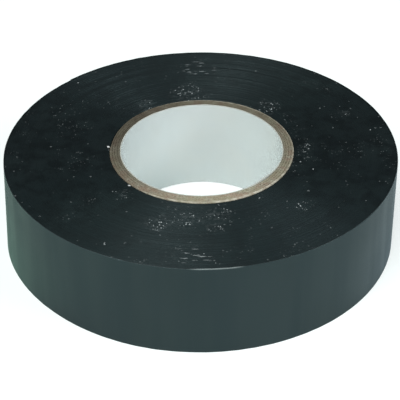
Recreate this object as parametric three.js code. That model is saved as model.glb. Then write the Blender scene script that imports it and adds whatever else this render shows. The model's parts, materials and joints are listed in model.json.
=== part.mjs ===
// A roll of electrical tape: PVC tape wound on a paperboard core, with a loose tail that peels away.
//
// Millimetres, +Z up. The Z axis is the roll's axis, and the origin is the centre of the face that
// it lies on. Angles are measured about +Z from +X, and the tape is wound so that its cut end lies
// at the largest angle. The tail is on the +Y side.

import * as THREE from 'three';

const degree = Math.PI / 180;
const fullTurn = 2 * Math.PI;

// Driving dimensions
const tapeWidth = 19;
const rollRadius = 38.4;
const boreRadius = 16;
const linerThickness = 0.2;
const plyThickness = 0.48;
const plyCount = 4;
const filmThickness = 0.15;
const adhesiveThickness = 0.03;
const layerGap = 0.02;

// The tail: a flexible strip, held as a chain of short stiff segments with a hinge line between them
const tailEndAngle = 135 * degree;
const segmentAngle = 15 * degree;
const segmentCount = 6;
const cutGap = 0.05;

// How finely round faces are cut into flats
const windingFlatAngle = 3 * degree;
const coreFlats = 72;

// What follows from them
const tapeThickness = filmThickness + adhesiveThickness;
const plyPitch = plyThickness + layerGap;
const coreRadius = boreRadius + linerThickness + plyCount * plyPitch;
const tailRootAngle = tailEndAngle - segmentCount * segmentAngle;
const cutHalfAngle = cutGap / 2 / rollRadius;

const linerPaper = new THREE.MeshStandardMaterial({ color: 0xc5d4d2, roughness: 0.6, metalness: 0 });
const kraftBoard = new THREE.MeshStandardMaterial({ color: 0x96876e, roughness: 0.9, metalness: 0 });
const woundTape = new THREE.MeshStandardMaterial({ color: 0x1e282a, roughness: 0.45, metalness: 0 });
const film = new THREE.MeshStandardMaterial({ color: 0x374646, roughness: 0.4, metalness: 0 });
const adhesive = new THREE.MeshStandardMaterial({ color: 0x101414, roughness: 0.7, metalness: 0 });

// The winding is a spiral: its outer face gains one tape thickness in each turn, and reaches
// rollRadius at the cut end.
function windingRadius(angle) {
  return rollRadius - (tapeThickness * (tailEndAngle - angle)) / fullTurn;
}

// The angles from one end of an arc to the other, with a corner on every whole flat in between.
function cornerAngles(from, to) {
  const angles = [from];
  const tolerance = 1e-9;
  let corner = Math.floor(from / windingFlatAngle + tolerance) + 1;
  while (corner * windingFlatAngle < to - tolerance) {
    angles.push(corner * windingFlatAngle);
    corner += 1;
  }
  angles.push(to);
  return angles;
}

function pointAt(radius, angle) {
  return new THREE.Vector2(radius * Math.cos(angle), radius * Math.sin(angle));
}

// The spiral face at a depth below the winding's outer face, as a row of points.
function windingFace(from, to, depth) {
  return cornerAngles(from, to).map((angle) => pointAt(windingRadius(angle) - depth, angle));
}

function named(name, geometry, material) {
  const mesh = new THREE.Mesh(geometry, material);
  mesh.name = name;
  return mesh;
}

function raise(shape) {
  return new THREE.ExtrudeGeometry(shape, {
    depth: tapeWidth,
    bevelEnabled: false,
    curveSegments: coreFlats / 2,
  });
}

// A plain tube as wide as the tape: its wall's rectangle turned about the roll's axis.
function tube(innerRadius, outerRadius) {
  const wall = [
    new THREE.Vector2(innerRadius, 0),
    new THREE.Vector2(outerRadius, 0),
    new THREE.Vector2(outerRadius, tapeWidth),
    new THREE.Vector2(innerRadius, tapeWidth),
    new THREE.Vector2(innerRadius, 0),
  ];
  const turned = new THREE.LatheGeometry(wall, coreFlats);
  turned.rotateX(Math.PI / 2);
  return turned;
}

// The paper that lines the bore
function coreLiner() {
  return named('core_liner', tube(boreRadius, boreRadius + linerThickness), linerPaper);
}

// The kraft plies, from the liner outwards, each with a thin glue line inside it
function corePlies() {
  const plies = [];
  for (let i = 0; i < plyCount; i += 1) {
    const outerRadius = boreRadius + linerThickness + (i + 1) * plyPitch;
    plies.push(named(`core_ply_${i + 1}`, tube(outerRadius - plyThickness, outerRadius), kraftBoard));
  }
  return plies;
}

// Every wrap but the last, as one block: a spiral outline, with the one step of a tape's thickness
// where the last wrap begins, round the hole that holds the core
function tapePack() {
  const depth = tapeThickness + layerGap;
  const block = new THREE.Shape(windingFace(tailEndAngle - fullTurn, tailEndAngle, depth));
  const coreHole = new THREE.Path();
  coreHole.absarc(0, 0, coreRadius + layerGap, 0, fullTurn, true);
  block.holes.push(coreHole);
  return named('tape_pack', raise(block), woundTape);
}

// A length of one layer of the strip, between two depths below the winding's outer face
function stripLayer(name, from, to, outerDepth, innerDepth, material) {
  const start = from + cutHalfAngle;
  const end = to - cutHalfAngle;
  const outerFace = windingFace(start, end, outerDepth);
  const innerFace = windingFace(start, end, innerDepth).reverse();
  return named(name, raise(new THREE.Shape([...outerFace, ...innerFace])), material);
}

// A length of the strip: its film, and the adhesive coat under it
function strip(filmName, adhesiveName, from, to) {
  return [
    stripLayer(filmName, from, to, 0, filmThickness, film),
    stripLayer(adhesiveName, from, to, filmThickness, tapeThickness, adhesive),
  ];
}

// The last wrap, from where the tail will end round to the tail's root
function outerWrap() {
  return strip('outer_wrap_film', 'outer_wrap_adhesive', tailEndAngle - fullTurn, tailRootAngle);
}

// The tail's segments, from its root to its cut end
function tailSegments() {
  const segments = [];
  for (let i = 0; i < segmentCount; i += 1) {
    const from = tailRootAngle + i * segmentAngle;
    const names = [`tail_film_${i + 1}`, `tail_adhesive_${i + 1}`];
    segments.push(...strip(...names, from, from + segmentAngle));
  }
  return segments;
}

const roll = new THREE.Group();
roll.add(coreLiner(), ...corePlies(), tapePack(), ...outerWrap(), ...tailSegments());

export default roll;
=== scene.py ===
"""An electrical tape roll: fine meshes, materials, light and camera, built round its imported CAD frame.

Metres, +Z up. The roll's axis is the Z axis and it lies on the floor at Z = 0. Every surface of the
roll is a section swept about that axis, so most functions work in radius, height and angle.
"""

import json
import math
from types import SimpleNamespace

import bpy
import numpy as np
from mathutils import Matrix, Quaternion, Vector


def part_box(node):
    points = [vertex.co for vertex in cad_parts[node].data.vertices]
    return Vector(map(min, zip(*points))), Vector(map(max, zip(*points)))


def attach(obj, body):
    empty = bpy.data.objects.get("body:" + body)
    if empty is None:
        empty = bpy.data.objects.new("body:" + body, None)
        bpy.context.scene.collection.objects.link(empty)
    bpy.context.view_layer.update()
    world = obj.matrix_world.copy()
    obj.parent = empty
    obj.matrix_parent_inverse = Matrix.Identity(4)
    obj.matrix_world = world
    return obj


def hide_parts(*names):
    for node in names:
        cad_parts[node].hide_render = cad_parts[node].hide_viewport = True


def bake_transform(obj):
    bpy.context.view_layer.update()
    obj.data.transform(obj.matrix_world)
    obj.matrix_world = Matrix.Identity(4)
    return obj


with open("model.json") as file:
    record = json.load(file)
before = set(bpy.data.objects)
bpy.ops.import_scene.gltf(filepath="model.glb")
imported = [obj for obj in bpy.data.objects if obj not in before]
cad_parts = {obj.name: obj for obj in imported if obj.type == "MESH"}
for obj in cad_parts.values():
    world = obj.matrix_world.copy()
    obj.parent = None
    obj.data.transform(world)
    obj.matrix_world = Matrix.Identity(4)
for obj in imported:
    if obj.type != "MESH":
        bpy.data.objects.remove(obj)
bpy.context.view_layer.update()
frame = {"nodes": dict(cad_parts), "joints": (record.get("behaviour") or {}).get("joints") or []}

MM = 0.001
TURN = 2 * math.pi


# ---- Sizes, from the frame ----


def radii(node_name):
    """The least and the greatest distance of a CAD node's corners from the roll's axis."""
    distances = [vertex.co.xy.length for vertex in frame["nodes"][node_name].data.vertices]
    return min(distances), max(distances)


def hinge(name):
    """A joint's record, with the angle and radius of its hinge line about the roll's axis."""
    joint = next(j for j in frame["joints"] if j["name"] == name)
    x, y, _ = joint["pos_m"]
    return joint, math.atan2(y, x), math.hypot(x, y)


tail_joints = [j["name"] for j in frame["joints"]]
_, tail_root, root_radius = hinge(tail_joints[0])
_, last_hinge, last_hinge_radius = hinge(tail_joints[-1])
segment = (last_hinge - tail_root) / (len(tail_joints) - 1)
tail_end = last_hinge + segment

growth = (last_hinge_radius - root_radius) / (last_hinge - tail_root)
tape_thickness = growth * TURN
adhesive_thickness = radii("outer_wrap_film")[0] - radii("outer_wrap_adhesive")[0]
film_thickness = tape_thickness - adhesive_thickness

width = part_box("tape_pack")[1].z
bore_radius, liner_radius = radii("core_liner")
ply_count = sum(name.startswith("core_ply_") for name in frame["nodes"])
ply_radii = [radii(f"core_ply_{i + 1}") for i in range(ply_count)]
core_radius = ply_radii[-1][1]
pack_inner, pack_outer = radii("tape_pack")


def winding_radius(angle):
    """The outer face of the last wrap and the tail: a spiral that gains one thickness each turn."""
    return root_radius + (angle - tail_root) * growth


roll_radius = winding_radius(tail_end)


# ---- What the real roll has and the CAD leaves out ----

# The core stands a little proud, its cut end slopes outwards, and its outermost ply stops at a step
core_lift = 0.1 * MM
rim_slope = 0.07
ply_end_angle = math.radians(177)
ply_end_step = 0.18 * MM

# The liner's seam is a helix: its angle at the foot, and how far it turns in a millimetre of height
seam_foot_angle = -1.9
seam_turn = -0.055

# The liner's upper edge is puckered inwards in one place
pucker_angle = math.radians(-41.25)
pucker_reach = math.radians(9.17)
pucker_drop = 4 * MM
pucker_depth = 0.22 * MM

# The roll isn't quite round: the core is squeezed and a little off centre, the winding is longer
# from front to back, and the wraps spread towards the foot, most of all at one place
core_squeeze = 0.25 * MM
core_shift = 0.26 * MM
roll_squeeze = 0.11 * MM
foot_spread = 0.08 * MM
foot_bulge = 0.65 * MM
foot_bulge_angle = math.radians(-172)
foot_bulge_reach = math.radians(26)

# The film's upper edge is bruised flat where the roll was knocked, and a pale glint is painted along the
# bruise
bruise_angle = math.radians(-86)
bruise_reach = math.radians(8)
bruise_size = 0.17 * MM
small_bruises = 7

# Crumbs of paper at the core's edge: an angle, and how far they lie outside the core
crumbs = [(ply_end_angle, 0.3 * MM), (math.radians(-137), 0.3 * MM)]

# Where dust has gathered on the upper face, and where a painted highlight lies on its concentric
# streaks: an angle in degrees, a part of the roll's radius, and a reach in millimetres
dust_patches = [
    (-108, 0.67, 3.5),
    (-96, 0.62, 3.5),
    (-83, 0.58, 3.5),
    (-84, 0.68, 2.5),
    (-134, 0.54, 2.0),
    (97, 0.55, 5.0),
    (124, 0.51, 3.0),
    (49, 0.54, 3.5),
    (2, 0.54, 2.5),
    (24, 0.84, 1.8),
    (-47, 0.71, 1.5),
]
glinting_streak_patches = [(-92, 0.9, 3.6), (90, 0.82, 4.6)]

# Each random pattern has a seed of its own, so that a change to one leaves the others as they are
upper_face_seed = 7
lower_face_seed = 17
ply_fuzz_seed = 40
ply_edge_seed = 50
liner_wall_seed = 61
liner_edge_seed = 62
broad_wave_seed = 71
narrow_wave_seed = 72
film_edge_seed = 73
bruise_seed = 74
torn_edge_seed = 75
torn_lift_seed = 76


def turned_from(place, angle):
    """The angle measured from a place, between minus half a turn and half a turn."""
    return (angle - place + math.pi) % TURN - math.pi


def core_shape(angle):
    """How far the core's true outline lies outside a circle about the axis."""
    return core_shift * np.cos(angle) - core_squeeze * np.cos(2 * angle)


def roll_shape(angle, height):
    """How far the last wrap's true outline lies outside its spiral."""
    from_bulge = turned_from(foot_bulge_angle, angle) / foot_bulge_reach
    spread = foot_spread + foot_bulge * np.exp(-(from_bulge**2))
    return roll_squeeze * (1 - np.cos(2 * angle)) + spread * (1 - height / width)


# ---- Mesh helpers ----


# Edges that turn by more than this are shaded as sharp ones
sharp_angle = 0.7


def mesh_object(name, points, faces):
    """A smooth mesh that carries its points' places at rest, for the materials to go by."""
    mesh = bpy.data.meshes.new(name)
    mesh.from_pydata(points.tolist(), [], faces)
    mesh.polygons.foreach_set("use_smooth", [True] * len(mesh.polygons))
    mesh.set_sharp_from_angle(angle=sharp_angle)
    mesh.update()
    at_rest = mesh.attributes.new("at_rest", "FLOAT_VECTOR", "POINT")
    at_rest.data.foreach_set("vector", points.astype(np.float32).ravel())
    made = bpy.data.objects.new(name, mesh)
    bpy.context.scene.collection.objects.link(made)
    return made


def in_space(radius, angle, height):
    return np.stack([radius * np.cos(angle), radius * np.sin(angle), height], axis=-1)


def strip_faces(columns, points, closed):
    """Quads between neighbouring columns of a swept loop, whose points run anticlockwise in the
    plane of radius and height."""
    faces = []
    for column in range(columns if closed else columns - 1):
        here = column * points
        there = (column + 1) % columns * points
        for point in range(points):
            after = (point + 1) % points
            faces.append([here + point, there + point, there + after, here + after])
    return faces


def sweep(name, radius, angle, height, closed):
    """A solid from a grid of columns (angles) by points (a closed loop). An open sweep gets caps."""
    columns, points = radius.shape
    faces = strip_faces(columns, points, closed)
    if not closed:
        last = (columns - 1) * points
        faces.append(list(range(points)))
        faces.append([last + point for point in reversed(range(points))])
    return mesh_object(name, in_space(radius, angle, height).reshape(-1, 3), faces)


def rounded_section(inner, outer, low, high, corner, wall_steps, end_steps):
    """An anticlockwise loop (radius, height) round a rectangle with rounded corners. The points on
    its sides lie closer together towards the corners."""
    corner_steps = 3
    loop = []
    corners = [
        (outer - corner, low + corner, -0.25, wall_steps),
        (outer - corner, high - corner, 0.0, end_steps),
        (inner + corner, high - corner, 0.25, wall_steps),
        (inner + corner, low + corner, 0.5, end_steps),
    ]
    for number, (radius, height, turn, steps) in enumerate(corners):
        for step in range(corner_steps + 1):
            angle = (turn + 0.25 * step / corner_steps) * TURN
            loop.append((radius + corner * math.cos(angle), height + corner * math.sin(angle)))
        next_radius, next_height, next_turn, _ = corners[(number + 1) % 4]
        start = np.array(loop[-1])
        end = np.array((
            next_radius + corner * math.cos(next_turn * TURN),
            next_height + corner * math.sin(next_turn * TURN),
        ))
        for step in range(1, steps):
            part = (1 - math.cos(math.pi * step / steps)) / 2
            loop.append(tuple(start + (end - start) * part))
    return np.array(loop)


def stands_for(made, node_name, looks):
    """Gives a piece its material, and hides the CAD node that it stands for."""
    made.data.materials.append(looks)
    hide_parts(node_name)


def waves(seed, angle, height, most_cycles, height_pitch):
    """Smooth random waves about the axis and along it, between about -1 and 1."""
    count = 24
    rng = np.random.default_rng(seed)
    total = np.zeros(np.broadcast(angle, height).shape)
    for _ in range(count):
        cycles = rng.integers(1, most_cycles + 1)
        climb = rng.normal() * TURN / height_pitch
        total = total + np.cos(cycles * angle + climb * height + rng.uniform(0, TURN))
    return total / math.sqrt(count)


def smooth_random(seed, position, amplitude=1.0):
    """One random value for each whole position, eased smoothly from one to the next."""
    rng = np.random.default_rng(seed)
    knots = rng.normal(size=int(np.max(position)) + 3)
    whole = np.floor(position).astype(int)
    part = position - whole
    eased = part * part * (3 - 2 * part)
    return amplitude * (knots[whole] * (1 - eased) + knots[whole + 1] * eased)


# ---- Node helpers ----


def give(tree, socket, value):
    """Links another node's output to a socket, or sets a plain value on it."""
    if isinstance(value, bpy.types.NodeSocket):
        tree.links.new(value, socket)
    else:
        socket.default_value = value


def node(tree, kind, inputs=None, **settings):
    made = tree.nodes.new(kind)
    for name, value in settings.items():
        setattr(made, name, value)
    for name, value in (inputs or {}).items():
        give(tree, made.inputs[name], value)
    return made


def calc(tree, operation, first, second=0.0, clamp=False):
    made = node(tree, "ShaderNodeMath", {0: first, 1: second}, operation=operation, use_clamp=clamp)
    return made.outputs[0]


def remap(tree, value, from_low, from_high, to_low=0.0, to_high=1.0):
    """A value eased from one range to another, and held at its ends."""
    inputs = {
        "Value": value,
        "From Min": from_low,
        "From Max": from_high,
        "To Min": to_low,
        "To Max": to_high,
    }
    made = node(tree, "ShaderNodeMapRange", inputs, interpolation_type="SMOOTHSTEP")
    return made.outputs["Result"]


def mix_colour(tree, factor, first, second):
    """The first colour where the factor is 0, and the second where it is 1. A Mix node has its
    colours at inputs 6 and 7, and its mixed colour at output 2."""
    made = node(tree, "ShaderNodeMix", {0: factor, 6: first, 7: second}, data_type="RGBA")
    return made.outputs[2]


def noise(tree, vector, scale, detail=3.0, roughness=0.5):
    inputs = {"Vector": vector, "Scale": scale, "Detail": detail, "Roughness": roughness}
    return node(tree, "ShaderNodeTexNoise", inputs).outputs["Fac"]


def folded(tree, operation, values):
    """One value from many: the operation on the first two, then on that and the next, and so on."""
    total = values[0]
    for value in values[1:]:
        total = calc(tree, operation, total, value)
    return total


def times(tree, *values):
    return folded(tree, "MULTIPLY", values)


def plus(tree, *values):
    return folded(tree, "ADD", values)


def largest(tree, *values):
    return folded(tree, "MAXIMUM", values)


def vector_calc(tree, operation, first, second):
    return node(tree, "ShaderNodeVectorMath", {0: first, 1: second}, operation=operation).outputs[0]


def scaled(tree, vector, scale):
    inputs = {0: vector, "Scale": scale}
    return node(tree, "ShaderNodeVectorMath", inputs, operation="SCALE").outputs[0]


def distance(tree, first, second):
    made = node(tree, "ShaderNodeVectorMath", {0: first, 1: second}, operation="DISTANCE")
    return made.outputs["Value"]


def polar(tree):
    """The shaded point as it is at rest, in millimetres: its place, radius and height, and how far
    its direction from the axis points across (+X) and along (+Y)."""
    at_rest = node(tree, "ShaderNodeAttribute", attribute_name="at_rest").outputs["Vector"]
    place = scaled(tree, at_rest, 1 / MM)
    x, y, height = node(tree, "ShaderNodeSeparateXYZ", {0: place}).outputs
    radius = calc(tree, "SQRT", plus(tree, times(tree, x, x), times(tree, y, y)))
    across = calc(tree, "DIVIDE", x, radius)
    along = calc(tree, "DIVIDE", y, radius)
    return SimpleNamespace(place=place, radius=radius, height=height, across=across, along=along)


def round_and_round(tree, spot, arc_cells, radial_cells=0.0, height_cells=0.0):
    """A noise vector in cells: so many to a radian of arc, and so many per millimetre of radius and
    of height. It has no seam, because it goes by the direction from the axis."""
    inputs = {
        0: times(tree, spot.across, arc_cells),
        1: times(tree, spot.along, arc_cells),
        2: plus(tree, times(tree, spot.radius, radial_cells), times(tree, spot.height, height_cells)),
    }
    return node(tree, "ShaderNodeCombineXYZ", inputs).outputs[0]


def shifted(tree, vector, scale, amount):
    """The vector moved about by noise of the given scale."""
    colour = node(tree, "ShaderNodeTexNoise", {"Vector": vector, "Scale": scale}).outputs["Color"]
    either_way = vector_calc(tree, "SUBTRACT", colour, (0.5, 0.5, 0.5))
    return vector_calc(tree, "ADD", vector, scaled(tree, either_way, amount))


def specks(tree, vector, cells_per_mm, share, size):
    """Ragged specks in a share of the cells. The size is the largest, as a part of a cell."""
    ragged = shifted(tree, vector, cells_per_mm * 3.5, size * 2.4 / cells_per_mm)
    inputs = {"Vector": ragged, "Scale": cells_per_mm, "Randomness": 1.0}
    cells = node(tree, "ShaderNodeTexVoronoi", inputs, feature="F1")
    chosen, own_size, _ = node(tree, "ShaderNodeSeparateColor", {0: cells.outputs["Color"]}).outputs
    inside = calc(tree, "SUBTRACT", times(tree, own_size, size), cells.outputs["Distance"])
    body = calc(tree, "DIVIDE", inside, size * 0.3, clamp=True)
    return times(tree, body, calc(tree, "LESS_THAN", chosen, share))


def bent(tree, vector):
    """The vector bent by noise and stretched one way, so that specks turn into short threads."""
    inputs = {
        "Vector": shifted(tree, vector, 0.5, 5.0),
        "Rotation": (0, 0, 0.6),
        "Scale": (1.6, 0.35, 1.0),
    }
    return node(tree, "ShaderNodeMapping", inputs).outputs[0]


def material(name):
    made = bpy.data.materials.new(name)
    made.use_nodes = True
    return made, made.node_tree, made.node_tree.nodes["Principled BSDF"]


def bump(tree, height, strength, depth):
    inputs = {"Height": height, "Strength": strength, "Distance": depth}
    return node(tree, "ShaderNodeBump", inputs).outputs["Normal"]


def set_inputs(tree, shader, **inputs):
    """Sets a shader's inputs by name, with a low line for each space in the name."""
    for name, value in inputs.items():
        give(tree, shader.inputs[name.replace("_", " ")], value)


# ---- Materials ----


# Plastic of this colour reflects light a little cooler than it is
cool_reflection = (0.72, 0.97, 1.0, 1)


def on_upper_face(radius, angle):
    """A place on the upper face, in millimetres."""
    return Vector((radius * math.cos(angle), radius * math.sin(angle), width)) / MM


def paper_crumbs(tree, place):
    """White crumbs of paper, about a millimetre across."""
    uneven = times(tree, noise(tree, place, 3.0), 0.5)
    found = []
    for angle, outside in crumbs:
        centre = on_upper_face(core_radius + core_shape(angle) + outside, angle)
        from_centre = plus(tree, distance(tree, place, centre), uneven)
        found.append(remap(tree, from_centre, 0.62, 0.45))
    return largest(tree, *found)


def within(tree, place, patches):
    """How far inside any of the patches of the upper face a place is: ragged, and 0 outside them."""
    ragged = shifted(tree, place, 0.45, 5.0)
    found = []
    for degrees, part, reach in patches:
        centre = on_upper_face(part * roll_radius, math.radians(degrees))
        found.append(remap(tree, distance(tree, ragged, centre), reach, reach * 0.3))
    return largest(tree, *found)


def dust_and_streak_glints(tree, spot):
    """Dust and lint on the winding's two faces, thick in patches and thin elsewhere, and a painted
    highlight on concentric streaks at the front and the back.
    """
    flat = vector_calc(tree, "MULTIPLY", spot.place, (1, 1, 0))
    patches = within(tree, spot.place, dust_patches)
    thinly = remap(tree, noise(tree, spot.place, 0.19, 2.0), 0.54, 0.70, 0.0, 0.22)
    fine = times(tree, specks(tree, flat, 2.9, share=0.34, size=0.50), largest(tree, patches, thinly))
    clouds = remap(tree, noise(tree, spot.place, 1.6, 3.0, 0.6), 0.45, 0.7, 0.0, 0.06)
    haze = times(tree, clouds, patches)
    coarse = times(tree, specks(tree, flat, 0.42, share=0.26, size=0.085), 0.75)
    faint = times(tree, specks(tree, flat, 0.95, share=0.25, size=0.22), 0.2)
    lint = times(tree, specks(tree, bent(tree, flat), 0.5, share=0.14, size=0.12), 0.45)
    # Painted highlight: pale concentric dashes where the fine rings catch the light at the front and the
    # back
    dashes = specks(tree, round_and_round(tree, spot, 22.0, radial_cells=3.4), 1.0, share=0.5, size=0.5)
    streak_glints = times(tree, dashes, within(tree, spot.place, glinting_streak_patches), 0.5)
    pale_marks = largest(tree, fine, haze, coarse, faint, lint, streak_glints)
    face_height = width / MM / 2
    from_middle = calc(tree, "ABSOLUTE", calc(tree, "SUBTRACT", spot.height, face_height))
    return times(tree, pale_marks, remap(tree, from_middle, face_height - 0.8, face_height - 0.5))


def wound_tape_material():
    """The wound edges of the strip: near-black plastic in fine rings, with dust and lint on it."""
    made, tree, shader = material("wound_tape")
    spot = polar(tree)
    rings = noise(tree, round_and_round(tree, spot, 1.2, radial_cells=5.5), 1.0, 2.0)
    streaks = noise(tree, round_and_round(tree, spot, 3.0, radial_cells=9.0), 1.0, 3.0)
    broad = noise(tree, spot.place, 0.09, 3.0)
    blotches = noise(tree, spot.place, 0.26, 3.0, 0.6)
    dark = mix_colour(tree, rings, (0.0034, 0.0068, 0.0078, 1), (0.0052, 0.0098, 0.0108, 1))
    dark = mix_colour(tree, remap(tree, broad, 0.35, 0.7), dark, (0.0065, 0.0116, 0.0125, 1))
    dark = mix_colour(tree, remap(tree, blotches, 0.6, 0.36), dark, (0.0020, 0.0042, 0.0050, 1))
    pale_marks = dust_and_streak_glints(tree, spot)
    # Pale dust and lint, and the painted highlight on the concentric streaks
    colour = mix_colour(tree, pale_marks, dark, (0.46, 0.50, 0.51, 1))
    colour = mix_colour(tree, paper_crumbs(tree, spot.place), colour, (0.75, 0.77, 0.76, 1))
    relief = plus(tree, times(tree, streaks, 0.35), times(tree, pale_marks, 0.8), times(tree, blotches, 0.9))
    rough = remap(tree, blotches, 0.35, 0.65, 0.58, 0.48)
    rough = calc(tree, "ADD", rough, times(tree, pale_marks, 0.4), clamp=True)
    set_inputs(
        tree,
        shader,
        Base_Color=colour,
        Roughness=rough,
        IOR=1.5,
        Specular_Tint=cool_reflection,
        Anisotropic=0.65,
        Anisotropic_Rotation=0.25,
        Tangent=node(tree, "ShaderNodeTangent", direction_type="RADIAL", axis="Z").outputs[0],
        Normal=bump(tree, relief, 0.35, 0.03 * MM),
    )
    return made


def film_material():
    """Calendered PVC film: dark and satin, with faint upright streaks from the winding tension, and its
    upper edge rubbed smooth and nicked, with a pale glint painted along the bruise."""
    made, tree, shader = material("tape_film")
    spot = polar(tree)
    top = width / MM
    upright = noise(tree, round_and_round(tree, spot, 26.0, height_cells=0.05), 1.0, 3.0)
    bands = noise(tree, round_and_round(tree, spot, 8.0, height_cells=0.02), 1.0, 2.0)
    broad = noise(tree, spot.place, 0.07, 2.0)
    grain = noise(tree, spot.place, 9.0, 2.0)
    dark = mix_colour(tree, upright, (0.020, 0.030, 0.032, 1), (0.028, 0.040, 0.042, 1))
    dark = mix_colour(tree, remap(tree, broad, 0.3, 0.7), dark, (0.027, 0.039, 0.042, 1))
    dark = mix_colour(tree, remap(tree, bands, 0.35, 0.65, 0.0, 0.5), dark, (0.018, 0.030, 0.035, 1))

    near_rim = remap(tree, spot.height, top - 0.9, top - 0.2)
    nicks = times(tree, specks(tree, spot.place, 0.9, share=0.3, size=0.24), near_rim, 0.4)
    pale_marks = largest(tree, specks(tree, spot.place, 0.35, share=0.05, size=0.05), nicks)
    colour = mix_colour(tree, pale_marks, dark, (0.4, 0.44, 0.45, 1))
    bruise_across = times(tree, spot.across, math.cos(bruise_angle))
    bruise_along = times(tree, spot.along, math.sin(bruise_angle))
    towards_bruise = plus(tree, bruise_across, bruise_along)
    # Painted highlight: a pale glint along the bruised upper edge near the front
    glint_arc = remap(tree, towards_bruise, math.cos(bruise_reach), math.cos(bruise_reach * 0.5))
    at_the_rim = remap(tree, spot.height, top - 0.3, top - 0.12)
    painted_glint = times(tree, glint_arc, at_the_rim, 0.7)
    colour = mix_colour(tree, painted_glint, colour, (0.22, 0.25, 0.25, 1))

    rubbed_edge = remap(tree, spot.height, top - 0.25, top - 0.1)
    rough = plus(
        tree,
        remap(tree, grain, 0.3, 0.7, 0.34, 0.42),
        remap(tree, broad, 0.3, 0.7, 0.0, 0.08),
        remap(tree, bands, 0.35, 0.65, -0.03, 0.04),
        times(tree, rubbed_edge, -0.13),
    )
    relief = plus(tree, times(tree, upright, 0.7), times(tree, grain, 0.12))
    set_inputs(
        tree,
        shader,
        Base_Color=colour,
        Roughness=rough,
        IOR=1.5,
        Specular_Tint=cool_reflection,
        Normal=bump(tree, relief, 0.25, 0.05 * MM),
    )
    return made


def adhesive_material():
    """The rubber coat under the film: black, with a slight orange-peel."""
    made, tree, shader = material("tape_adhesive")
    peel = noise(tree, polar(tree).place, 3.0, 3.0)
    colour = mix_colour(tree, peel, (0.006, 0.007, 0.007, 1), (0.013, 0.015, 0.015, 1))
    set_inputs(
        tree,
        shader,
        Base_Color=colour,
        Roughness=remap(tree, peel, 0.3, 0.7, 0.3, 0.5),
        Normal=bump(tree, peel, 0.4, 0.06 * MM),
    )
    return made


def rim_shade_and_patches(tree, spot, mottle):
    """How much the core's end is darkened: a painted shade, most at the sides, the left and the back,
    and random dark patches besides. The front is left unshaded."""
    amount = plus(
        tree,
        times(tree, spot.across, spot.across, 0.36),
        times(tree, spot.across, -0.17),
        times(tree, spot.along, 0.2),
        remap(tree, spot.along, 0.0, 0.9, 0.0, 0.24),
        times(tree, mottle, 0.5),
    )
    return calc(tree, "MAXIMUM", amount, 0.0, clamp=True)


def kraft_material():
    """Cut kraft board: mottled brown fibre with dark and pale grit, a painted shade towards the sides
    and the back, and a paler outer lip that is partly a painted highlight.
    """
    made, tree, shader = material("kraft_board")
    spot = polar(tree)
    fibre_cells = round_and_round(tree, spot, 30.0, radial_cells=2.0, height_cells=1.2)
    fibres = noise(tree, fibre_cells, 1.0, 4.0, 0.7)
    mottle = noise(tree, spot.place, 0.55, 4.0, 0.6)
    tint = noise(tree, spot.place, 0.35, 2.0)
    grit = noise(tree, spot.place, 3.6, 3.0, 0.75)
    fibrous = remap(tree, fibres, 0.3, 0.7)
    brown = mix_colour(tree, fibrous, (0.205, 0.18, 0.135, 1), (0.40, 0.385, 0.30, 1))
    brown = mix_colour(tree, remap(tree, mottle, 0.40, 0.60, 0.0, 0.85), brown, (0.33, 0.245, 0.18, 1))
    brown = mix_colour(tree, remap(tree, tint, 0.42, 0.58, 0.0, 0.6), brown, (0.295, 0.29, 0.20, 1))
    brown = mix_colour(tree, remap(tree, grit, 0.54, 0.68, 0.0, 0.55), brown, (0.10, 0.08, 0.055, 1))
    brown = mix_colour(tree, remap(tree, grit, 0.44, 0.32, 0.0, 0.35), brown, (0.62, 0.60, 0.50, 1))
    by_the_liner = remap(tree, spot.radius, liner_radius / MM + 0.55, liner_radius / MM + 0.15)
    brown = mix_colour(tree, times(tree, by_the_liner, 0.5), brown, (0.21, 0.205, 0.16, 1))

    # Painted shade: the core's end is darkened by direction, most at the sides, the left and the back,
    # and also in random patches
    shade_and_patches = rim_shade_and_patches(tree, spot, mottle)
    darkened_brown = mix_colour(tree, shade_and_patches, brown, (0.055, 0.047, 0.033, 1))
    # Painted highlight: the pale outer lip is partly the cut paper's own paler edge and partly a
    # highlight, dimmed under the painted shade so that it is strongest at the front
    lip = remap(tree, spot.radius, core_radius / MM - 0.20, core_radius / MM - 0.10)
    broken = remap(tree, noise(tree, spot.place, 0.9, 3.0), 0.35, 0.65, 0.1, 0.75)
    lip_strength = remap(tree, shade_and_patches, 0.0, 0.7, 1.0, 0.35)
    pale = mix_colour(tree, times(tree, lip, broken, lip_strength), darkened_brown, (0.60, 0.57, 0.48, 1))
    set_inputs(
        tree,
        shader,
        Base_Color=pale,
        Roughness=0.92,
        Specular_IOR_Level=0.25,
        Normal=bump(tree, plus(tree, fibres, grit), 0.6, 0.12 * MM),
    )
    return made


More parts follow.
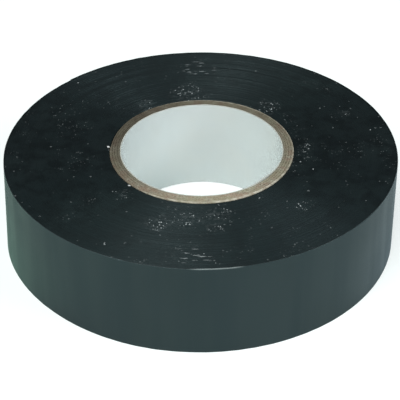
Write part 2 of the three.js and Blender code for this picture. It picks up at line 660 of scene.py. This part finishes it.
def liner_material():
    """Smooth pale paper, a little blue, faintly cloudy, with a dark line at its helical seam and a
    browner cut edge."""
    made, tree, shader = material("liner_paper")
    spot = polar(tree)
    cloud = noise(tree, spot.place, 0.12, 3.0)
    fibres = noise(tree, spot.place, 3.5, 4.0, 0.7)
    clouded = remap(tree, cloud, 0.35, 0.65)
    pale = mix_colour(tree, clouded, (0.74, 0.795, 0.79, 1), (0.755, 0.80, 0.785, 1))
    pale = mix_colour(tree, remap(tree, fibres, 0.55, 0.8, 0.0, 0.25), pale, (0.63, 0.71, 0.70, 1))
    angle = calc(tree, "ARCTAN2", spot.along, spot.across)
    seam_angle = plus(tree, times(tree, spot.height, seam_turn), seam_foot_angle)
    from_seam = calc(tree, "ABSOLUTE", calc(tree, "SUBTRACT", angle, seam_angle))
    line = remap(tree, from_seam, 0.012, 0.004)
    pale = mix_colour(tree, times(tree, line, 0.5), pale, (0.42, 0.42, 0.38, 1))
    rim = (width + core_lift) / MM
    cut_edge = remap(tree, spot.height, rim - 0.16, rim - 0.02, 0.0, 0.7)
    pale = mix_colour(tree, cut_edge, pale, (0.36, 0.36, 0.30, 1))
    set_inputs(
        tree,
        shader,
        Base_Color=pale,
        Roughness=0.55,
        Specular_IOR_Level=0.35,
        Normal=bump(tree, calc(tree, "SUBTRACT", fibres, line), 0.15, 0.08 * MM),
    )
    return made


# ---- The core ----


def eased(value, low, high):
    part = np.clip((value - low) / (high - low), 0, 1)
    return part * part * (3 - 2 * part)


def missing_ply(angle, bridged=0.0):
    """How much the outermost ply lacks in thickness: it stops at a square step and comes back
    gradually on the far side. The tape bridges the last few degrees before the step."""
    behind = (ply_end_angle - angle) % TURN
    back_again = 1 - eased(behind, math.radians(8), math.radians(45))
    across_the_step = eased(behind, 0, bridged) if bridged else 1.0
    return ply_end_step * back_again * across_the_step


def rim_height(radius):
    """How far the core's cut end stands above the tape's face: most at the bore, least outside."""
    return core_lift - (radius - bore_radius) * rim_slope


# How many columns of points go round each piece of the core
core_columns = 300


def ply(number, inner, outer, looks):
    """One kraft ply: a tube with soft, uneven, fibrous ends."""
    section = rounded_section(inner, outer, 0, width, corner=0.09 * MM, wall_steps=12, end_steps=5)
    angle = np.linspace(0, TURN, core_columns, endpoint=False)[:, None]
    lack = missing_ply(angle) if number == ply_count else 0 * angle
    thinned = 1 - lack / (outer - inner)
    true_radius = inner + (section[None, :, 0] - inner) * thinned
    radius = true_radius + core_shape(angle)
    height = section[None, :, 1] + 0 * angle
    rng = np.random.default_rng(ply_fuzz_seed + number)
    fuzz = rng.normal(size=height.shape) * 0.012 * MM
    edge_waves = waves(ply_edge_seed + number, angle, true_radius, most_cycles=40, height_pitch=0.5 * MM)
    wander = edge_waves * 0.014 * MM
    top = height > width / 2
    lifted = height + rim_height(true_radius) + wander + fuzz
    sunk = height + core_lift + wander * 0.5 + np.abs(fuzz)
    height = np.where(top, lifted, sunk)
    wall = (section[:, 1] > MM) & (section[:, 1] < width - MM)
    height = np.where(wall[None, :], section[None, :, 1], height)
    made = sweep(f"kraft_ply_{number}", radius, angle + 0 * radius, height, closed=True)
    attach(made, "roll")
    stands_for(made, f"core_ply_{number}", looks)


def liner(looks):
    """The paper that lines the bore, with slight waves in its wall and a pucker at its cut edge."""
    section = rounded_section(
        bore_radius, liner_radius, 0, width, corner=0.07 * MM, wall_steps=24, end_steps=2
    )
    angle = np.linspace(0, TURN, core_columns, endpoint=False)[:, None]
    radius = section[None, :, 0] + core_shape(angle)
    wall_height = section[None, :, 1]
    wall_waves = waves(liner_wall_seed, angle, wall_height, most_cycles=9, height_pitch=30 * MM)
    radius = radius + wall_waves * 0.02 * MM
    height = section[None, :, 1] + 0 * angle
    from_pucker = turned_from(pucker_angle, angle) / pucker_reach
    near_edge = np.clip((height - width + pucker_drop) / pucker_drop, 0, 1) ** 2
    pucker = np.exp(-(from_pucker**2)) * near_edge
    radius = radius - pucker * pucker_depth
    wander = waves(liner_edge_seed, angle, 0.0, most_cycles=30, height_pitch=MM) * 0.02 * MM
    top = height > width - MM
    bottom = height < MM
    height = np.where(top, height + core_lift + wander + pucker * 0.1 * MM, height)
    height = np.where(bottom, height + core_lift + np.abs(wander), height)
    made = sweep("bore_liner", radius, angle + 0 * radius, height, closed=True)
    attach(made, "roll")
    stands_for(made, "core_liner", looks)


# ---- The wound tape ----


def face_relief(turn_number, radius, part, seed):
    """How far below the plane of the face the strip's edge lies. Each wrap is set a little in or
    out and a little tilted, both drifting slowly along the strip, with a groove between wraps."""
    knots_per_turn = 10
    set_in = smooth_random(seed, turn_number * knots_per_turn, 0.006 * MM)
    tilt = smooth_random(seed + 1, turn_number * knots_per_turn, 0.005 * MM)
    bands = smooth_random(seed + 2, turn_number / 7.0, 0.015 * MM)
    groove = np.where(part >= 1.0, 0.012 * MM, 0.0)
    by_the_core = 0.22 * MM * np.exp(-(radius - pack_inner) / (0.28 * MM))
    by_the_edge = 0.07 * MM * np.exp(-(pack_outer - radius) / (0.8 * MM))
    relief = 0.05 * MM + set_in + bands + tilt * (2 * part - 1) + groove + by_the_core + by_the_edge
    return np.maximum(relief, 0.0)


# The rows of each face follow the strip round its spiral, and each wrap has rows at these parts of
# its thickness: two on its flat edge, and one in the groove before the next wrap
row_parts = (0.1, 0.9, 1.0)
rows_per_wrap = len(row_parts)
face_columns = 144


def winding_face_points():
    """The points of the winding's upper and lower faces, by column and by row."""
    wraps = round((pack_outer - tape_thickness - pack_inner) / tape_thickness)
    turn = np.arange(face_columns)[:, None] / face_columns
    wrap = np.repeat(np.arange(wraps), rows_per_wrap)[None, :]
    part = np.tile(row_parts, wraps)[None, :]
    inner_edge = pack_inner + tape_thickness * np.where(wrap == 0, 0.0, wrap + turn)
    outer_edge = pack_inner + tape_thickness * (wrap + 1 + turn)
    radius = inner_edge + part * (outer_edge - inner_edge)
    radius = np.hstack([np.full((face_columns, 1), pack_inner), radius])
    turn_number = np.hstack([turn, wrap + turn])
    part = np.hstack([np.zeros((face_columns, 1)), part + 0 * turn])
    angle = tail_end - TURN + turn * TURN + 0 * radius
    levelled_out = np.exp(-(radius - pack_inner) / (1.5 * MM))
    radius = radius - missing_ply(angle, math.radians(6)) * levelled_out

    upper_relief = face_relief(turn_number, radius, part, upper_face_seed)
    lower_relief = face_relief(turn_number, radius, part, lower_face_seed)
    part_out = np.clip((radius - pack_inner) / (pack_outer - pack_inner), 0, 1)
    at_the_foot = part_out**6
    upper_radius = radius + (1 - part_out) * core_shape(angle) + part_out * roll_shape(angle, width)
    lower_radius = upper_radius + at_the_foot * (roll_shape(angle, 0) - roll_shape(angle, width))
    upper = in_space(upper_radius, angle, width - upper_relief)
    lower = in_space(lower_radius, angle, lower_relief)
    return upper, lower


def winding_faces(rows):
    """The faces of the winding. The lower face's points come after the upper face's. At the seam
    each row runs on into the row one wrap further out."""
    under = face_columns * rows
    last_column = (face_columns - 1) * rows
    faces = []

    def on_both_faces(corners):
        faces.append(corners)
        faces.append([under + corner for corner in reversed(corners)])

    def wall(first, second):
        faces.append([first, second, under + second, under + first])

    for column in range(face_columns - 1):
        here = column * rows
        there = here + rows
        for row in range(rows - 1):
            on_both_faces([here + row, here + row + 1, there + row + 1, there + row])
        wall(here, there)
        wall(there + rows - 1, here + rows - 1)

    for row in range(1, rows - 1 - rows_per_wrap):
        over = row + rows_per_wrap
        on_both_faces([last_column + row, last_column + row + 1, over + 1, over])
    wall(last_column, 0)

    # where the strip starts against the core
    first_rows = range(rows_per_wrap + 1, -1, -1)
    on_both_faces([last_column, last_column + 1, *first_rows])

    # the step where the last wrap begins
    last_rows = range(last_column + rows - 1 - rows_per_wrap, last_column + rows)
    on_both_faces([*last_rows, rows - 1])
    wall(rows - 1, last_column + rows - 1)
    return faces


def wound_tape(looks):
    """All the wraps but the last, as one block with a spiral outline."""
    upper, lower = winding_face_points()
    points = np.vstack([upper.reshape(-1, 3), lower.reshape(-1, 3)])
    made = mesh_object("wound_tape", points, winding_faces(upper.shape[1]))
    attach(made, "roll")
    stands_for(made, "tape_pack", looks)


# ---- The last wrap and the tail ----


def film_wave(angle, height):
    """The last wrap isn't a true cylinder: it carries slight waves from the wraps under it."""
    broad = waves(broad_wave_seed, angle, height, most_cycles=7, height_pitch=60 * MM)
    narrow = waves(narrow_wave_seed, angle, height, most_cycles=60, height_pitch=90 * MM)
    return broad * 0.018 * MM + narrow * 0.0035 * MM


def crushed(depth, height, angle):
    """The film's upper outer edge is bruised flat in a few places, where it catches the light."""
    rng = np.random.default_rng(bruise_seed)
    bruise = 0 * angle
    for place in [bruise_angle, *rng.uniform(0, TURN, small_bruises)]:
        size = bruise_size if place == bruise_angle else rng.uniform(0.04, 0.09) * MM
        away = turned_from(place, angle) / rng.uniform(0.06, 0.12)
        bruise = np.maximum(bruise, size * np.exp(-(away**4)))
    from_corner = -depth + (width - height)
    push = np.maximum(bruise - from_corner, 0) / 2
    return depth - push, height - push


def torn(radius, angle, height, end):
    """The tail's torn end: ragged, a little slanted, and lifted off the roll most at its foot."""
    near_end = eased(angle, end - 2.5 * MM / roll_radius, end)
    ragged = waves(torn_edge_seed, 0.0, height, most_cycles=1, height_pitch=4 * MM) * 0.16 * MM
    slanted = (height / width - 0.5) * 0.5 * MM
    angle = angle + near_end * (ragged + slanted - 0.3 * MM) / roll_radius
    lift_waves = waves(torn_lift_seed, 0.0, height, most_cycles=1, height_pitch=9 * MM)
    lift = (0.06 + 0.03 * lift_waves) * MM
    radius = radius + near_end * lift * (1 - (height / width) ** 3)
    return radius, angle


def strip(name, start, end, outer_depth, inner_depth, column_step=math.radians(1.0), last=False):
    """A length of one layer of the strip, between two depths below the winding's outer face. The
    last length of the tail has a torn end."""
    columns = max(6, round((end - start) / column_step)) + 1
    corner = min(0.045 * MM, (inner_depth - outer_depth) * 0.45)
    section = rounded_section(-inner_depth, -outer_depth, 0, width, corner, wall_steps=28, end_steps=2)
    angle = np.linspace(start, end, columns)[:, None]
    depth = section[None, :, 0] + 0 * angle
    height = section[None, :, 1] + 0 * angle
    depth, height = crushed(depth, height, angle)
    edge_wander = waves(film_edge_seed, angle, 0.0, most_cycles=90, height_pitch=MM) * 0.022 * MM
    top = height > width - MM
    bottom = height < MM
    height = np.where(top, height - 0.03 * MM + edge_wander, height)
    height = np.where(bottom, height + 0.03 * MM - edge_wander, height)
    radius = winding_radius(angle) + depth + film_wave(angle, section[None, :, 1])
    radius = radius + roll_shape(angle, section[None, :, 1])
    angle = angle + 0 * radius
    if last:
        radius, angle = torn(radius, angle, height, end)
    return sweep(name, radius, angle, height, closed=False)


def last_wrap(film_looks, adhesive_looks):
    start = tail_end - TURN
    film = strip("wrap_film", start, tail_root, 0, film_thickness)
    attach(film, "roll")
    stands_for(film, "outer_wrap_film", film_looks)
    coat = strip("wrap_adhesive", start, tail_root, film_thickness, tape_thickness)
    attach(coat, "roll")
    stands_for(coat, "outer_wrap_adhesive", adhesive_looks)


# How far before its hinge line each length begins to turn, and how far after it the turn ends. The
# root turns sharply. A reach of one and a half segments makes the turn nearly even along a length, so
# that the straightened tail is flat. The first two begin at or just before their hinge lines, so that
# neither sinks into the wraps below.
root_bend = (0, 2.2 * MM / roll_radius)
second_bend = (2 * MM / roll_radius, 0.85 * segment)
further_bend = (1.5 * segment, 1.5 * segment)


def tail(film_looks, adhesive_looks):
    """The tail in lengths: each length runs from the middle of one CAD segment to the middle of the
    next."""
    layers = [
        ("film", 0, film_thickness, film_looks),
        ("adhesive", film_thickness, tape_thickness, adhesive_looks),
    ]
    bends = [root_bend, second_bend] + [further_bend] * (len(tail_joints) - 2)
    for number, (joint_name, bend) in enumerate(zip(tail_joints, bends), start=1):
        joint, hinge_angle, _ = hinge(joint_name)
        first = number == 1
        last = number == len(tail_joints)
        start = hinge_angle if first else hinge_angle - segment / 2
        end = tail_end if last else hinge_angle + segment / 2
        column_step = math.radians(0.3 if first else 1.0)
        for layer, outer_depth, inner_depth, looks in layers:
            piece_name = f"tail_{layer}_strip_{number}"
            piece = strip(piece_name, start, end, outer_depth, inner_depth, column_step, last)
            stands_for(piece, f"tail_{layer}_{number}", looks)
            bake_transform(piece)


# ---- Floor, light and camera ----


# The floor glows a little beside the roll, for reflections only, so that the film's two ends carry
# the pale tints that the photograph shows there
left_tint = (0.22, 0.75, 0.46, 1)
right_tint = (0.67, 0.86, 1.0, 1)
floor_side = 4.0
floor_drop = 0.02 * MM


def glow_beside(tree, x, y):
    """How strongly the floor glows for reflections: beside the roll, more in front, and not behind."""
    aside = calc(tree, "ABSOLUTE", x)
    near = remap(tree, aside, 0.6 * roll_radius, 0.95 * roll_radius)
    far = remap(tree, aside, 0.95 * roll_radius, 1.4 * roll_radius, 0.36, 0.14)
    behind = remap(tree, y, 0.45 * roll_radius, 0.9 * roll_radius, 1.0, 0.0)
    in_front = remap(tree, y, -1.0 * roll_radius, 0.1 * roll_radius, 0.25, 1.4)
    return times(tree, near, far, behind, in_front)


def floor():
    """A floor that the camera sees as white, and that throws back less light than it seems to."""
    bpy.ops.mesh.primitive_plane_add(size=floor_side, location=(0, 0, -floor_drop))
    made = bpy.context.object
    made.name = "studio_floor"
    looks, tree, shader = material("studio_white")
    place = node(tree, "ShaderNodeTexCoord").outputs["Object"]
    x, y, _ = node(tree, "ShaderNodeSeparateXYZ", {0: place}).outputs
    shade = mix_colour(tree, noise(tree, place, 4.0), (0.43, 0.50, 0.49, 1), (0.45, 0.52, 0.51, 1))
    seen = node(tree, "ShaderNodeLightPath").outputs["Is Camera Ray"]
    from_axis = node(tree, "ShaderNodeVectorMath", {0: place}, operation="LENGTH").outputs["Value"]
    glow_seen = times(tree, seen, remap(tree, from_axis, 0.08, 0.7, 0.6, 1.0))
    on_the_right = calc(tree, "GREATER_THAN", x, 0.0)
    side_tint = mix_colour(tree, on_the_right, left_tint, right_tint)
    set_inputs(
        tree,
        shader,
        Base_Color=shade,
        Roughness=1.0,
        Specular_IOR_Level=0.0,
        Emission_Color=mix_colour(tree, seen, side_tint, (1, 1, 1, 1)),
        Emission_Strength=largest(tree, glow_seen, glow_beside(tree, x, y)),
    )
    made.data.materials.append(looks)


lamp_reach = 0.9
lamp_size = 0.5


def lamp(name, azimuth, elevation, power, colour):
    """A square soft light that faces the roll. An azimuth of 0 is in front, and 90 on the right."""
    data = bpy.data.lights.new(name, "AREA")
    data.shape = "SQUARE"
    data.size = lamp_size
    data.energy = power
    data.color = colour
    made = bpy.data.objects.new(name, data)
    bpy.context.scene.collection.objects.link(made)
    round_by = math.radians(azimuth)
    up_by = math.radians(elevation)
    back = Vector((
        math.sin(round_by) * math.cos(up_by),
        -math.cos(round_by) * math.cos(up_by),
        math.sin(up_by),
    ))
    made.location = back * lamp_reach
    made.rotation_mode = "QUATERNION"
    made.rotation_quaternion = (-back).to_track_quat("-Z", "Y")


def studio():
    lamp("key", azimuth=-28, elevation=56, power=6.6, colour=(1.0, 1.0, 0.99))
    lamp("left_fill", azimuth=-80, elevation=30, power=1.4, colour=(0.84, 1.0, 0.92))
    lamp("right_fill", azimuth=70, elevation=36, power=4.5, colour=(0.93, 0.98, 1.0))
    world = bpy.data.worlds.new("studio")
    bpy.context.scene.world = world
    world.use_nodes = True
    tree = world.node_tree
    seen = node(tree, "ShaderNodeLightPath").outputs["Is Camera Ray"]
    shade = mix_colour(tree, seen, (0.10, 0.10, 0.10, 1), (1.0, 1.0, 1.0, 1))
    tree.links.new(shade, tree.nodes["Background"].inputs["Color"])
    bpy.context.scene.view_settings.view_transform = "Standard"


def camera():
    """The photograph's viewpoint: over the roll's front at 35 degrees, through a long lens."""
    elevation = math.radians(34.90)
    level_error = math.radians(-0.38)
    reach = 7.42 * roll_radius
    aim = Vector((-0.0034 * roll_radius, 0, 0.1747 * roll_radius))
    data = bpy.data.cameras.new("camera")
    data.sensor_width = 36.0
    data.lens = 128.1
    data.clip_start = 0.01
    made = bpy.data.objects.new("camera", data)
    bpy.context.scene.collection.objects.link(made)
    back = Vector((0, -math.cos(elevation), math.sin(elevation)))
    made.location = aim + back * reach
    made.rotation_mode = "QUATERNION"
    made.rotation_quaternion = (-back).to_track_quat("-Z", "Y") @ Quaternion((0, 0, 1), level_error)
    bpy.context.scene.camera = made


# ---- The scene ----

film_looks = film_material()
adhesive_looks = adhesive_material()
kraft_looks = kraft_material()

liner(liner_material())
for ply_number, (ply_inner, ply_outer) in enumerate(ply_radii, start=1):
    ply(ply_number, ply_inner, ply_outer, kraft_looks)
wound_tape(wound_tape_material())
last_wrap(film_looks, adhesive_looks)
tail(film_looks, adhesive_looks)
floor()
studio()
camera()
